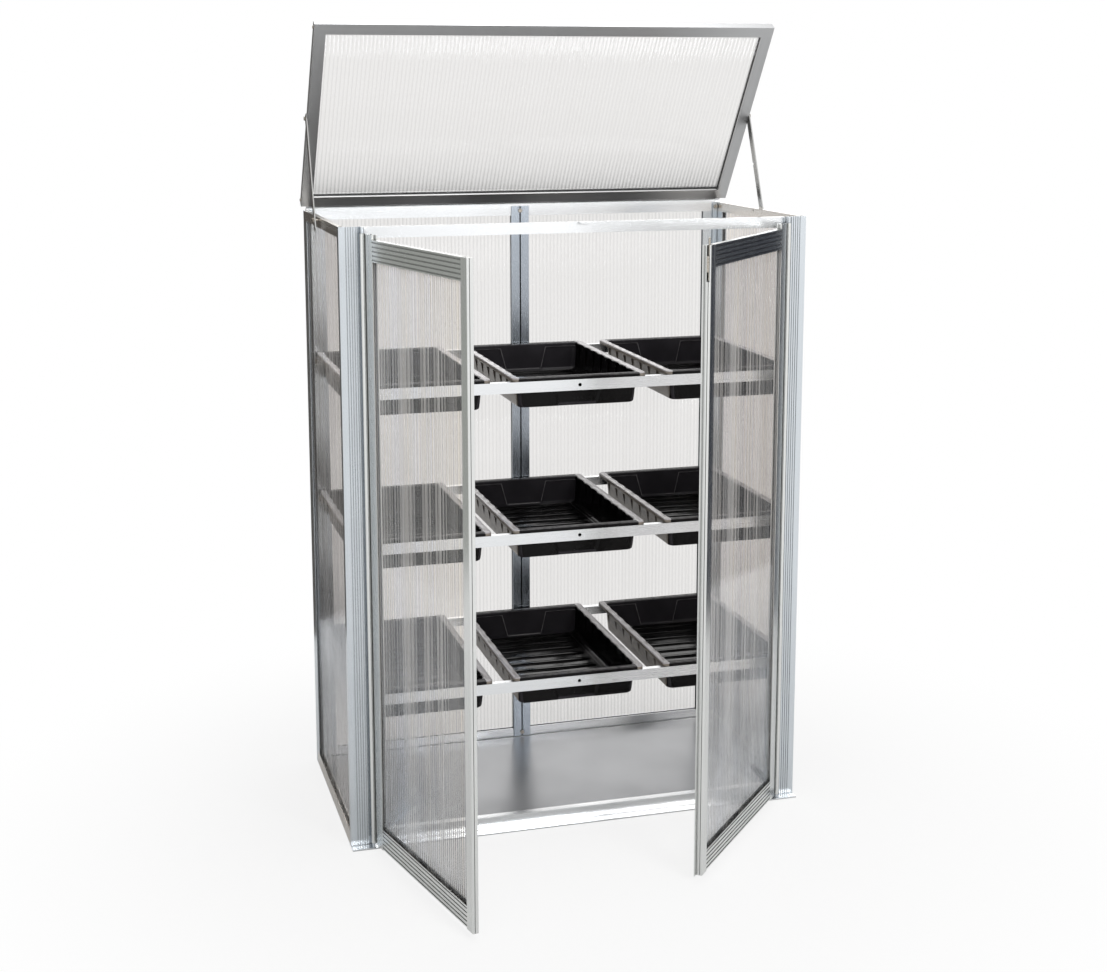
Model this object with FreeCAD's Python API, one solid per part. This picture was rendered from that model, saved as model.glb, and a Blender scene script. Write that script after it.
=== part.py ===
import FreeCAD, Part
import math
import os

from FreeCAD import Vector

os.makedirs("parts", exist_ok=True)

# All sizes are in millimetres. X runs to the right along the front, Y to the back, Z up.
# The origin is on the ground, in the middle of the front, in the plane of the front posts' faces.

# Overall
width = 1210.0
depth = 600.0
height = 1572.0
half = width / 2

# Tolerance for picking edges by their place
tiny = 0.01

# Extruded profiles
wall = 2.5
sheet_t = 8.0
sheet_play = 0.5
channel = sheet_t + 2 * sheet_play
channel_depth = 10.0
sheet_end_gap = 1.0
rail_w = channel + 2 * wall
top_channel_h = 26.0
bottom_rail_h = 36.0
groove_depth = 1.2

# Twin-wall sheet
web_pitch = 10.5
web_t = 0.5
skin_t = 0.5

# Front posts
post_face_w = 44.0
post_face_t = 6.0
post_side_d = 22.0
flute_count = 5
flute_w = 2.8
flute_depth = 1.5
flute_start = 14.0

# Rear posts
core_w = 28.0
core_d = 20.0
rear_lip = 28.0
side_lip = 35.0

# Sill, floor and front top rail
foot_t = 4.0
foot_front = 24.0
sill_face_y = 2.0
sill_d = 20.0
ledge = 12.0
ledge_t = 3.0
floor_t = 2.0
floor_z = 8.0
top_rail_h = 27.0
top_rail_drop = 1.0
strike_tab_t = 3.0
strike_tab_w = 30.0
strike_tab_reach = 20.0

# Rod and hook hinges
rod_r = 4.2
hinge_gap = 0.3
hook_t = 1.5
hook_r = rod_r + hinge_gap
hook_out = hook_r + hook_t
rod_web = 2.0
neck = 2.0
hook_margin = 25.0

# Doors
door_t = 14.0
door_gap = 3.5
hinge_in = 10.5
meeting_gap = 4.0
leaf_start = 20.0
leaf_t = 2.0
leaf_root = 2.4
hinge_stile_w = 35.0
free_stile_w = 31.0
nose_r = 4.0
seam_from_face = 4.5
seam_w = 1.5
seam_d = 4.0
stop_t = 2.0
stop_gap = 0.4
stop_out = 10.0
stop_on = 8.0
door_bottom = 19.0
door_top_drop = 27.0
door_rail_h = 52.0
hinge_stile_rise = 12.0
stile_drop = 3.0
rail_groove_count = 5
rail_groove_w = 3.5
left_door_open = 76.2
right_door_open = 47.4
door_swing = 115.0

# Slide bolt
bolt_r = 2.5
bolt_from_edge = 7.0
bolt_off = 1.0
bolt_slot_w = 7.0
bolt_slot_depth = 12.0
bolt_slot_h = 84.0
bolt_above = 17.0
bolt_below = 81.0
grip_top = 25.0
grip_h = 37.0
grip_w = 6.0
grip_out = 1.0
strike_r = 4.2

# Lid
lid_t = 20.0
lid_front_in = 8.0
lid_side_over = 9.0
lid_frame_w = 30.0
lid_axis_in = 10.0
lid_axis_up = 11.5
lid_leaf = 7.0
lid_open = 55.0
lid_swing = 95.0
crest_h = 5.0
rod_end_in = 6.0

# Lid stays
stay_w = 21.0
stay_t = 3.0
stay_gap = 0.3
stay_pivot = 290.0
stay_foot_back = 284.0
stay_foot_drop = 6.0
stay_top_end = 10.0
stay_tail = 26.0
stay_notch = 7.0
stay_notch_depth = 4.0
pin_r = 2.5
pin_play = 0.05
pin_deep = 8.0
stay_hole_r = 3.0
foot_bolt_gap = 1.0

# Shelves
shelf_lowest = 395.0
shelf_pitch = 390.0
shelf_names = ("lower", "middle", "upper")
shelf_rail_h = 28.0
shelf_rail_d = 16.0
shelf_rail_t = 2.5
shelf_rail_end = 2.0
shelf_hole_r = 4.5

# Trays
tray_w = 352.0
tray_pitch = 407.0
tray_names = ("left", "centre", "right")
tray_front_gap = 2.0
tray_back_gap = 0.5
tray_h = 81.0
tray_wall = 1.8
rim_h = 10.0
rim_w = 15.0
tray_draft = 6.5
tray_corner = 16.0
rim_corner = 9.0
tray_seat = 0.2
tray_rib_count = 10
tray_rib_w = 6.0
tray_rib_h = 4.0
tray_rib_inset = 34.0
side_rib_count = 8
side_rib_w = 2.0
side_rib_out = 6.0
end_pad_in = 3.5
end_pad_low = 22.0
end_pad_mid_top = 66.0
end_pad_mid_low = 54.0
end_pad_side = 24.0

# Mullion and fasteners
mullion_w = 50.0
mullion_t = 2.5
mullion_web = 8.0
mullion_slot = 4.0
mullion_slot_depth = 1.5
mullion_low = 12.0
bolt_shank_r = 3.0
bolt_hole_r = 3.1
bolt_shank = 8.0
bolt_hole_extra = 0.5
bolt_head_h = 4.0
bolt_head_af = 10.0
bolt_down = 12.0
mullion_bolt_z = 24.0
screw_head_r = 4.0
screw_head_h = 3.0
screw_shank_r = 2.0
screw_hole_r = 2.1
screw_shank = 3.5
screw_edge = 13.0

# Positions that follow from the sizes above
front_axis_x = -half + post_face_w + hinge_in
front_axis_y = -door_gap - door_t
rail_end_x = -front_axis_x - rod_web / 2
door_reach = -front_axis_x - meeting_gap / 2
hinge_end = leaf_start + hinge_stile_w
free_start = door_reach - free_stile_w
door_top = height - door_top_drop
top_channel_low = height - top_channel_h
rear_in = depth - rail_w
core_front = depth - core_d
shelf_tops = [shelf_lowest + i * shelf_pitch for i in range(len(shelf_names))]
front_shelf_y = post_face_t
rear_shelf_y = core_front
tray_y0 = front_shelf_y + tray_front_gap
tray_y1 = rear_shelf_y - shelf_rail_t - tray_back_gap
lid_edge_x = half + lid_side_over
lid_axis_y = depth - lid_axis_in
lid_axis_z = height + lid_axis_up
lid_reach = lid_axis_y - lid_front_in
stay_foot_y = depth - stay_foot_back
rod_end_x = half - rod_end_in
deck = floor_z + floor_t
rear_bolt_in = (rail_w + core_w) / 2


def box(x0, x1, y0, y1, z0, z1):
    return Part.makeBox(x1 - x0, y1 - y0, z1 - z0, Vector(x0, y0, z0))


def cylinder(radius, length, base, axis):
    return Part.makeCylinder(radius, length, Vector(*base), Vector(*axis))


def outline(points):
    loop = [Vector(*p) for p in points]
    return Part.makePolygon(loop + loop[:1])


def prism_x(points, x0, x1):
    """Solid from (y, z) points, running along X."""
    wire = outline([(x0, y, z) for y, z in points])
    return Part.Face(wire).extrude(Vector(x1 - x0, 0, 0))


def prism_y(points, y0, y1):
    """Solid from (x, z) points, running along Y."""
    wire = outline([(x, y0, z) for x, z in points])
    return Part.Face(wire).extrude(Vector(0, y1 - y0, 0))


def prism_z(points, z0, z1):
    """Solid from (x, y) points, running along Z."""
    wire = outline([(x, y, z0) for x, y in points])
    return Part.Face(wire).extrude(Vector(0, 0, z1 - z0))


def join(first, *others):
    return first.fuse(list(others)).removeSplitter()


def mirrored(shape):
    return shape.mirror(Vector(0, 0, 0), Vector(1, 0, 0))


def turned(shape, centre, axis, angle):
    copy = shape.copy()
    copy.rotate(Vector(*centre), Vector(*axis), angle)
    return copy


def moved(shape, dx, dy, dz):
    copy = shape.copy()
    copy.translate(Vector(dx, dy, dz))
    return copy


def notched(a0, a1, face, count, groove, depth_in):
    """Points along a face from a0 to a1 with evenly spaced grooves cut to depth_in."""
    step = (a1 - a0) / count
    points = []
    for i in range(count):
        mid = a0 + (i + 0.5) * step
        points.append((mid - groove / 2, face))
        points.append((mid - groove / 2, depth_in))
        points.append((mid + groove / 2, depth_in))
        points.append((mid + groove / 2, face))
    return points


def twin_wall(across, run):
    """Sheet standing in X and Z with open cells along Z, centred on X and on Y."""
    count = int((across - web_t) / web_pitch)
    first = -count * web_pitch / 2
    cell_y = sheet_t / 2 - skin_t
    a = across / 2
    t = sheet_t / 2
    wires = [outline([(-a, -t, 0), (a, -t, 0), (a, t, 0), (-a, t, 0)])]
    for i in range(count):
        x0 = first + i * web_pitch + web_t / 2
        x1 = x0 + web_pitch - web_t
        wires.append(outline([(x0, -cell_y, 0), (x1, -cell_y, 0), (x1, cell_y, 0), (x0, cell_y, 0)]))
    face = Part.makeFace(wires, "Part::FaceMakerBullseye")
    return face.extrude(Vector(0, 0, run))


def channel_rail(low, high, mouth_up):
    """Section of a hollow rail with a sheet channel on one side: (across, z) points and its hollow."""
    if mouth_up:
        mouth, back = high, low
        bed = high - channel_depth
        hollow = (low + wall, bed - wall)
    else:
        mouth, back = low, high
        bed = low + channel_depth
        hollow = (bed + wall, high - wall)
    points = [(0, back), (0, mouth), (wall, mouth), (wall, bed)]
    points += [(rail_w - wall, bed), (rail_w - wall, mouth), (rail_w, mouth), (rail_w, back)]
    return points, hollow


def hollowed_x(points, hollow, at, x0, x1):
    body = prism_x([(at + a, z) for a, z in points], x0, x1)
    return body.cut(box(x0, x1, at + wall, at + rail_w - wall, hollow[0], hollow[1]))


def hollowed_y(points, hollow, at, y0, y1):
    body = prism_y([(at + a, z) for a, z in points], y0, y1)
    return body.cut(box(at + wall, at + rail_w - wall, y0, y1, hollow[0], hollow[1]))


def hex_head():
    """Hexagonal head standing on the Y = 0 face towards -Y."""
    r = bolt_head_af / math.sqrt(3)
    corners = [(r * math.cos(math.radians(60 * i)), r * math.sin(math.radians(60 * i))) for i in range(6)]
    return prism_y(corners, -bolt_head_h, 0)


def hex_bolt(length):
    """Bolt with its head on the Y = 0 face and its shank running to +Y."""
    return join(hex_head(), cylinder(bolt_shank_r, length, (0, 0, 0), (0, 1, 0)))


def bolt_hole(length):
    return cylinder(bolt_hole_r, length + bolt_hole_extra, (0, 0, 0), (0, 1, 0))


def pan_screw():
    """Screw along Y: the head stands on the Y = 0 face towards +Y, the shank runs to -Y."""
    head = cylinder(screw_head_r, screw_head_h, (0, 0, 0), (0, 1, 0))
    head = head.makeFillet(screw_head_h / 2, [e for e in head.Edges if e.BoundBox.YMin > screw_head_h / 2])
    return join(head, cylinder(screw_shank_r, screw_shank, (0, 0, 0), (0, -1, 0)))


def screw_hole():
    return cylinder(screw_hole_r, screw_shank + bolt_hole_extra, (0, 0, 0), (0, -1, 0))


def hook(length, start, sweep):
    """C-shaped hinge hook along Z about the origin, its metal from start degrees through sweep degrees."""
    sector = Part.makeCylinder(hook_out, length, Vector(0, 0, 0), Vector(0, 0, 1), sweep)
    sector = turned(sector, (0, 0, 0), (0, 0, 1), start)
    return sector.cut(cylinder(hook_r, length, (0, 0, 0), (0, 0, 1)))


# Frame


def front_post():
    """Left front post: fluted face, side channel for the sheet, and the door's hinge rod."""
    x0 = -half
    face = [(x0, 0)]
    face += notched(x0 + flute_start, x0 + post_face_w, 0, flute_count, flute_w, flute_depth)
    face += [(x0 + post_face_w, 0), (x0 + post_face_w, post_face_t)]
    face += [(x0 + rail_w, post_face_t), (x0 + rail_w, post_side_d), (x0 + rail_w - wall, post_side_d)]
    face += [(x0 + rail_w - wall, post_face_t), (x0 + wall, post_face_t)]
    face += [(x0 + wall, post_side_d), (x0, post_side_d)]
    body = prism_z(face, foot_t, height)
    edge = front_axis_x + rod_web / 2
    arm = box(x0 + post_face_w, edge, post_face_t - rod_web, post_face_t, foot_t, height)
    web = box(edge - rod_web, edge, front_axis_y, post_face_t, foot_t, height)
    rod = cylinder(rod_r, height - foot_t, (front_axis_x, front_axis_y, foot_t), (0, 0, 1))
    return join(body, arm, web, rod)


def rear_post():
    """Left rear post: hollow core with one channel for the rear sheet and one for the side sheet."""
    x0 = -half
    core = box(x0, x0 + core_w, core_front, depth, 0, height)
    core = core.cut(box(x0 + wall, x0 + core_w - wall, core_front + wall, depth - wall, 0, height))
    low = bottom_rail_h
    high = top_channel_low
    lips = [
        box(x0 + core_w, x0 + core_w + rear_lip, depth - wall, depth, low, high),
        box(x0 + core_w, x0 + core_w + rear_lip, rear_in, rear_in + wall, low, high),
        box(x0, x0 + wall, core_front - side_lip, core_front, low, high),
        box(x0 + rail_w - wall, x0 + rail_w, core_front - side_lip, core_front, low, high),
    ]
    return join(core, *lips)


def front_sill():
    x = rail_end_x
    back = sill_face_y + sill_d
    foot = box(-half, half, -foot_front, back, 0, foot_t)
    body = box(-x, x, sill_face_y, back, foot_t, bottom_rail_h)
    body = body.cut(box(-x, x, sill_face_y + wall, back - wall, foot_t + wall, bottom_rail_h - wall))
    shelf = box(-x, x, back, back + ledge, floor_z - ledge_t, floor_z)
    return join(foot, body, shelf)


def rear_bottom_rail():
    x = half - core_w
    points, hollow = channel_rail(0, bottom_rail_h, True)
    body = hollowed_x(points, hollow, rear_in, -x, x)
    return join(body, box(-x, x, rear_in - ledge, rear_in, floor_z - ledge_t, floor_z))


def side_bottom_rail():
    points, hollow = channel_rail(0, bottom_rail_h, True)
    body = hollowed_y(points, hollow, -half, post_side_d, core_front)
    x = -half + rail_w
    return join(body, box(x, x + ledge, post_side_d, core_front - ledge, floor_z - ledge_t, floor_z))


def side_top_rail():
    points, hollow = channel_rail(top_channel_low, height, False)
    body = hollowed_y(points, hollow, -half, post_side_d, core_front)
    hole = cylinder(stay_hole_r, rail_w, (-half, stay_foot_y, height - stay_foot_drop), (1, 0, 0))
    return body.cut(hole)


def front_top_rail():
    x = rail_end_x
    top = height - top_rail_drop
    low = top - top_rail_h
    back = sill_face_y + sill_d
    body = box(-x, x, sill_face_y, back, low, top)
    body = body.cut(box(-x, x, sill_face_y + wall, back - wall, low + wall, top - wall))
    strike_x = -front_axis_x - door_reach + bolt_from_edge
    strike_y = front_axis_y + door_t / 2 - bolt_off
    under = top - strike_tab_t
    left = strike_x - strike_tab_w / 2
    tab = box(left, left + strike_tab_w, sill_face_y - strike_tab_reach, sill_face_y, under, top)
    return join(body, tab).cut(cylinder(strike_r, strike_tab_t, (strike_x, strike_y, under), (0, 0, 1)))


def rear_top_rail():
    """Rear top rail with the crest and rod that the lid hooks on to."""
    x = half - core_w
    points, hollow = channel_rail(top_channel_low, height, False)
    body = hollowed_x(points, hollow, rear_in, -x, x)
    crest_top = height + crest_h
    crest = box(-rod_end_x, rod_end_x, rear_in, depth, height, crest_top)
    web_back = lid_axis_y + rod_web / 2
    web = box(-rod_end_x, rod_end_x, web_back - rod_web, web_back, crest_top, lid_axis_z)
    rod = cylinder(rod_r, 2 * rod_end_x, (-rod_end_x, lid_axis_y, lid_axis_z), (1, 0, 0))
    return join(body, crest, web, rod)


def rear_mullion():
    w = mullion_w / 2
    face_y = rear_in - mullion_t
    low = bottom_rail_h
    high = top_channel_low
    slot = mullion_slot / 2
    face = [(-w, face_y), (-slot, face_y), (-slot, face_y + mullion_slot_depth)]
    face += [(slot, face_y + mullion_slot_depth), (slot, face_y), (w, face_y), (w, rear_in), (-w, rear_in)]
    plate = prism_z(face, mullion_low, height)
    inner = box(-w, w, rear_in, rear_in + wall, low, high)
    web = box(-mullion_web / 2, mullion_web / 2, rear_in, depth, low, high)
    outer = box(-w, w, depth - wall, depth, low, high)
    return join(plate, inner, web, outer)


def rear_panel():
    """Left half of the rear wall."""
    x0 = -half + core_w + sheet_end_gap
    x1 = -mullion_web / 2 - sheet_end_gap
    z0 = bottom_rail_h - channel_depth + sheet_end_gap
    z1 = top_channel_low + channel_depth - sheet_end_gap
    sheet = twin_wall(x1 - x0, z1 - z0)
    return moved(sheet, (x0 + x1) / 2, rear_in + rail_w / 2, z0)


def side_panel():
    y0 = post_face_t + sheet_end_gap
    y1 = core_front - sheet_end_gap
    z0 = bottom_rail_h - channel_depth + sheet_end_gap
    z1 = top_channel_low + channel_depth - sheet_end_gap
    sheet = turned(twin_wall(y1 - y0, z1 - z0), (0, 0, 0), (0, 0, 1), 90)
    return moved(sheet, -half + rail_w / 2, (y0 + y1) / 2, z0)


def floor_sheet():
    x = half - rail_w - sheet_end_gap
    return box(-x, x, sill_face_y + sill_d + sheet_end_gap, core_front - sheet_end_gap, floor_z, deck)


def shelf_front_rail(top):
    x = half - rail_w - shelf_rail_end
    y0 = front_shelf_y
    y1 = y0 + shelf_rail_d
    points = [(y0, top - shelf_rail_h), (y0, top), (y1, top), (y1, top - shelf_rail_t)]
    points += [(y0 + shelf_rail_t, top - shelf_rail_t), (y0 + shelf_rail_t, top - shelf_rail_h)]
    hole = cylinder(shelf_hole_r, shelf_rail_t, (0, y0, top - shelf_rail_h / 2), (0, 1, 0))
    return prism_x(points, -x, x).cut(hole)


def shelf_rear_rail(top):
    x = half - rail_w - shelf_rail_end
    y1 = rear_shelf_y
    y0 = y1 - shelf_rail_d
    points = [(y1, top - shelf_rail_h), (y1, top), (y0, top), (y0, top - shelf_rail_t)]
    points += [(y1 - shelf_rail_t, top - shelf_rail_t), (y1 - shelf_rail_t, top - shelf_rail_h)]
    return prism_x(points, -x, x)


# Trays


def rounded(x, y0, y1, z, r):
    """Wire of a rounded rectangle, x to either side of the middle, from y0 to y1 at height z."""
    k = r * (1 - math.sqrt(0.5))
    edges = []
    corners = [(x, y1, 1, 1), (-x, y1, -1, 1), (-x, y0, -1, -1), (x, y0, 1, -1)]
    starts = []
    ends = []
    for cx, cy, sx, sy in corners:
        a = Vector(cx, cy - sy * r, z)
        b = Vector(cx - sx * r, cy, z)
        mid = Vector(cx - sx * k, cy - sy * k, z)
        first, last = (a, b) if sx * sy > 0 else (b, a)
        edges.append(Part.Arc(first, mid, last).toShape())
        starts.append(first)
        ends.append(last)
    for i in range(4):
        edges.append(Part.LineSegment(ends[i], starts[(i + 1) % 4]).toShape())
    return Part.Wire(Part.__sortEdges__(edges))


def tub(inset, low, high, end_inset):
    """Drafted rounded block from height low to high; inset is measured from the tray's outer wall."""
    x_top = tray_w / 2 - rim_w - inset
    y0 = tray_y0 + rim_w + inset + end_inset
    y1 = tray_y1 - rim_w - inset - end_inset
    r = tray_corner - inset
    upper = rounded(x_top, y0, y1, high, r)
    d = tray_draft
    lower = rounded(x_top - d, y0 + d, y1 - d, low, r)
    return Part.makeLoft([lower, upper], True, True)


def ring(thick, inner_r, low, high):
    """Straight rounded ring, thick measured inwards from the rim's outer edge."""
    rings = []
    for inset, r in ((0, rim_corner), (thick, inner_r)):
        wire = rounded(tray_w / 2 - inset, tray_y0 + inset, tray_y1 - inset, low, r)
        rings.append(Part.Face(wire).extrude(Vector(0, 0, high - low)))
    return rings[0].cut(rings[1])


def tray_shape():
    """One tray with its rim seated on a shelf whose top is at Z = 0, centred on X = 0."""
    top = rim_h + tray_seat
    low = top - tray_h
    outer = tub(0, low, top, 0)
    inner = tub(tray_wall, low + tray_wall, top, 0)
    shell = join(outer, ring(rim_w + tray_wall, tray_corner, top - tray_wall, top))
    shell = join(shell.cut(inner), ring(tray_wall, rim_corner - tray_wall, tray_seat, top - tray_wall))
    extras = end_pads(inner, low + tray_wall, top) + floor_ribs(low + tray_wall) + side_ribs(outer, low, top)
    return join(shell, *extras)


def end_pads(inner, low, top):
    """Raised panels on the inside of both end walls, to either side of a plain trapezoid."""
    skin = inner.cut(tub(tray_wall, low, top, end_pad_in))
    high = top - rim_h
    outside = tray_w / 2 - rim_w - end_pad_side
    points = [(end_pad_mid_low, low + end_pad_low), (outside - tray_draft, low + end_pad_low)]
    points += [(outside, high), (end_pad_mid_top, high)]
    pads = []
    for side in (1, -1):
        bar = prism_y([(side * x, z) for x, z in points], tray_y0, tray_y1)
        pads += skin.common(bar).Solids
    return pads


def floor_ribs(low):
    x = tray_w / 2 - rim_w - tray_rib_inset
    y0 = tray_y0 + rim_w + tray_rib_inset
    y1 = tray_y1 - rim_w - tray_rib_inset
    step = (y1 - y0) / (tray_rib_count - 1)
    ribs = []
    for i in range(tray_rib_count):
        y = y0 + i * step
        ribs.append(box(-x, x, y - tray_rib_w / 2, y + tray_rib_w / 2, low - tray_wall / 2, low + tray_rib_h))
    return ribs


def side_ribs(outer, low, top):
    """Upright stiffeners under the side rims."""
    x1 = tray_w / 2 - rim_w + side_rib_out
    x0 = tray_w / 2 - rim_w - tray_draft - tray_wall / 2
    span = tray_y1 - tray_y0 - 2 * rim_w
    ribs = []
    for i in range(side_rib_count):
        y = tray_y0 + rim_w + (i + 0.5) * span / side_rib_count
        for side in (1, -1):
            points = [(side * x0, low + rim_w), (side * x1, top - tray_wall), (side * x0, top - tray_wall)]
            rib = prism_y(points, y - side_rib_w / 2, y + side_rib_w / 2)
            ribs += rib.cut(outer).Solids
    return ribs


# Doors: built closed on the left, about a hinge axis through the origin, outer face in the plane of the axis


def hinge_stile():
    """Stile with a channel for the sheet, on a thin leaf that ends in the hinge hook."""
    t = door_t / 2
    c = channel / 2
    low = door_bottom - stile_drop
    high = door_top + hinge_stile_rise
    bed = hinge_end - channel_depth
    points = [(leaf_start, -t), (hinge_end, -t), (hinge_end, -c), (bed, -c), (bed, c), (hinge_end, c)]
    points += [(hinge_end, t), (leaf_start, t)]
    body = moved(prism_z(points, low, high), 0, t, 0)
    body = body.cut(box(leaf_start + wall, bed - wall, wall, door_t - wall, low, high))
    gap_start = 90 - hook_margin
    sweep = 360 - door_swing - 2 * hook_margin
    knuckle = moved(hook(high - low, gap_start - sweep, sweep), 0, 0, low)
    leaf = box(leaf_root, leaf_start, hook_out - leaf_t, hook_out, low, high)
    return join(body, leaf, knuckle)


def free_stile():
    t = door_t / 2
    c = channel / 2
    bed = free_start + channel_depth
    end = door_reach
    low = door_bottom - stile_drop
    seam = seam_from_face - t
    points = [(free_start, -t), (end, -t), (end, seam), (end - seam_d, seam), (end - seam_d, seam + seam_w)]
    points += [(end, seam + seam_w), (end, t), (free_start, t), (free_start, c)]
    points += [(bed, c), (bed, -c), (free_start, -c)]
    body = prism_z(points, low, door_top)
    body = body.cut(box(bed + wall, end - bolt_slot_depth - wall, wall - t, t - wall, low, door_top))
    nose = [e for e in body.Edges if e.BoundBox.XMin > end - tiny and e.BoundBox.YMax < -t + tiny]
    return moved(body.makeFillet(nose_r, nose), 0, t, 0)


def meeting_stop():
    """Strip on the inside of the right door that the left door closes against."""
    face = door_t + stop_gap
    end = door_reach
    points = [(end - stop_on, door_t), (end, door_t), (end, face), (end + stop_out, face)]
    points += [(end + stop_out, face + stop_t), (end - stop_on, face + stop_t)]
    return prism_z(points, door_bottom - stile_drop, door_top)


def door_rail(low, mouth_up):
    """Grooved rail between the stiles; the sheet sits in a channel in its inner edge."""
    t = door_t / 2
    c = channel / 2
    high = low + door_rail_h
    points = []
    for z, y in notched(low, high, -t, rail_groove_count, rail_groove_w, -t + groove_depth):
        points.append((y, z))
    points = [(-t, low)] + points + [(-t, high)]
    if mouth_up:
        bed = high - channel_depth
        points += [(-c, high), (-c, bed), (c, bed), (c, high), (t, high), (t, low)]
        hollow = (low + wall, bed - wall)
    else:
        bed = low + channel_depth
        points += [(t, high), (t, low), (c, low), (c, bed), (-c, bed), (-c, low)]
        hollow = (bed + wall, high - wall)
    body = prism_x(points, hinge_end, free_start)
    core = t - groove_depth - wall
    return moved(body.cut(box(hinge_end, free_start, -core, core, hollow[0], hollow[1])), 0, t, 0)


def door_panel():
    s0 = hinge_end - channel_depth + sheet_end_gap
    s1 = free_start + channel_depth - sheet_end_gap
    z0 = door_bottom + door_rail_h - channel_depth + sheet_end_gap
    z1 = door_top - door_rail_h + channel_depth - sheet_end_gap
    return moved(twin_wall(s1 - s0, z1 - z0), (s0 + s1) / 2, door_t / 2, z0)


def door_screw_places():
    """Screw points on the inside of the stiles, level with the middle of each rail."""
    levels = (door_bottom + door_rail_h / 2, door_top - door_rail_h / 2)
    return [(door_reach - screw_edge, door_t, z) for z in levels]


def slide_bolt_slot():
    """Cut-out in the free stile that the slide bolt runs in."""
    y = door_t / 2 - bolt_off
    w = bolt_slot_w / 2
    return box(door_reach - bolt_slot_depth, door_reach, y - w, y + w, door_top - bolt_slot_h, door_top)


def slide_bolt():
    s = door_reach - bolt_from_edge
    y = door_t / 2 - bolt_off
    rod = cylinder(bolt_r, bolt_above + bolt_below, (s, y, door_top - bolt_below), (0, 0, 1))
    high = door_top - grip_top
    w = grip_w / 2
    grip = box(s, door_reach + grip_out, y - w, y + w, high - grip_h, high)
    return join(rod, grip)


def door_pieces():
    """All pieces of one door, closed, with the hinge axis on the origin's upright."""
    holes = [moved(screw_hole(), *p) for p in door_screw_places()]
    return {
        "hinge_stile": hinge_stile(),
        "free_stile": free_stile().cut(Part.makeCompound(holes)),
        "top_rail": door_rail(door_top - door_rail_h, False),
        "bottom_rail": door_rail(door_bottom, True),
        "panel": door_panel(),
        "screws": Part.makeCompound([moved(pan_screw(), *p) for p in door_screw_places()]),
    }


# Lid: built closed, about a hinge axis through the origin, running towards -Y


def lid_rear_rail():
    t = lid_t / 2
    c = channel / 2
    x = lid_edge_x - lid_frame_w
    end = -lid_leaf - lid_frame_w
    bed = end + channel_depth
    points = [(-lid_leaf, -t), (-lid_leaf, t), (end, t), (end, c)]
    points += [(bed, c), (bed, -c), (end, -c), (end, -t)]
    body = prism_x(points, -x, x).cut(box(-x, x, bed + wall, -lid_leaf - wall, wall - t, t - wall))
    bridge = box(-x, x, -lid_leaf, -hook_r - hook_t / 2, -neck, neck)
    sweep = 360 - lid_swing - 2 * hook_margin
    # The hook's own Z becomes X and its Y becomes Z, then its open side is turned to the back.
    knuckle = turned(hook(2 * x, 270 + hook_margin, sweep), (0, 0, 0), (1, 1, 1), 120)
    knuckle = moved(knuckle, -x, 0, 0).mirror(Vector(0, 0, 0), Vector(0, 1, 0))
    return join(body, bridge, knuckle)


def lid_front_rail():
    """Rail across the ends of both stiles, hollow behind the sheet and closed at its own ends."""
    t = lid_t / 2
    x = lid_edge_x
    inside = lid_edge_x - wall
    start = -lid_reach + lid_frame_w
    bed = start - channel_depth
    body = box(-x, x, -lid_reach, start, -t, t)
    hollow = box(-inside, inside, wall - lid_reach, bed, wall - t, t - wall)
    mouth = box(-inside, inside, bed, start, -channel / 2, channel / 2)
    return body.cut(join(hollow, mouth))


def lid_stile():
    """Left stile, from the front rail to the back of the lid, drilled for the stay's pivot bolt."""
    t = lid_t / 2
    c = channel / 2
    x0 = -lid_edge_x
    x1 = x0 + lid_frame_w
    bed = x1 - channel_depth
    points = [(x0, -t), (x1, -t), (x1, -c), (bed, -c), (bed, c), (x1, c), (x1, t), (x0, t)]
    front = -lid_reach + lid_frame_w
    body = prism_y(points, front, -lid_leaf)
    body = body.cut(box(x0 + wall, bed - wall, front, -lid_leaf, wall - t, t - wall))
    return body.cut(cylinder(pin_r, pin_deep, (x0, -stay_pivot, 0), (1, 0, 0)))


def lid_panel():
    x = lid_edge_x - lid_frame_w + channel_depth - sheet_end_gap
    y0 = -lid_reach + lid_frame_w - channel_depth + sheet_end_gap
    y1 = -lid_leaf - lid_frame_w + channel_depth - sheet_end_gap
    sheet = turned(twin_wall(2 * x, y1 - y0), (0, 0, 0), (1, 0, 0), -90)
    return moved(sheet, 0, y0, 0)


def lid_screw_places():
    """Screw points on the left edge of the lid, in line with the middle of each rail."""
    rows = (-lid_leaf - lid_frame_w / 2, -lid_reach + lid_frame_w / 2)
    return [(-lid_edge_x, y, 0) for y in rows]


def stay():
    """Left stay in the lid's closed frame, hanging from its pivot towards -Z."""
    length = stay_length()
    w = stay_w / 2
    outer = -lid_edge_x - stay_gap - stay_t
    high = stay_top_end
    low = -length - stay_tail
    y = -stay_pivot
    bar = box(outer, outer + stay_t, y - w, y + w, low, high)
    bar = bar.cut(cylinder(pin_r + pin_play, stay_t, (outer, y, 0), (1, 0, 0)))
    bar = bar.cut(cylinder(pin_r + pin_play, stay_t, (outer, y, -length), (1, 0, 0)))
    mid = -length / 2
    notch = stay_notch / 2
    cut = box(outer, outer + stay_t, y + w - stay_notch_depth, y + w, mid - notch, mid + notch)
    return bar.cut(cut)


def stay_places():
    """Pivot of the stay with the lid open, and the point where its foot meets the side rail, as (y, z)."""
    a = math.radians(lid_open)
    pivot = (lid_axis_y - stay_pivot * math.cos(a), lid_axis_z + stay_pivot * math.sin(a))
    foot = (stay_foot_y, height - stay_foot_drop)
    return pivot, foot


def stay_length():
    pivot, foot = stay_places()
    return math.hypot(pivot[0] - foot[0], pivot[1] - foot[1])


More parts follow.
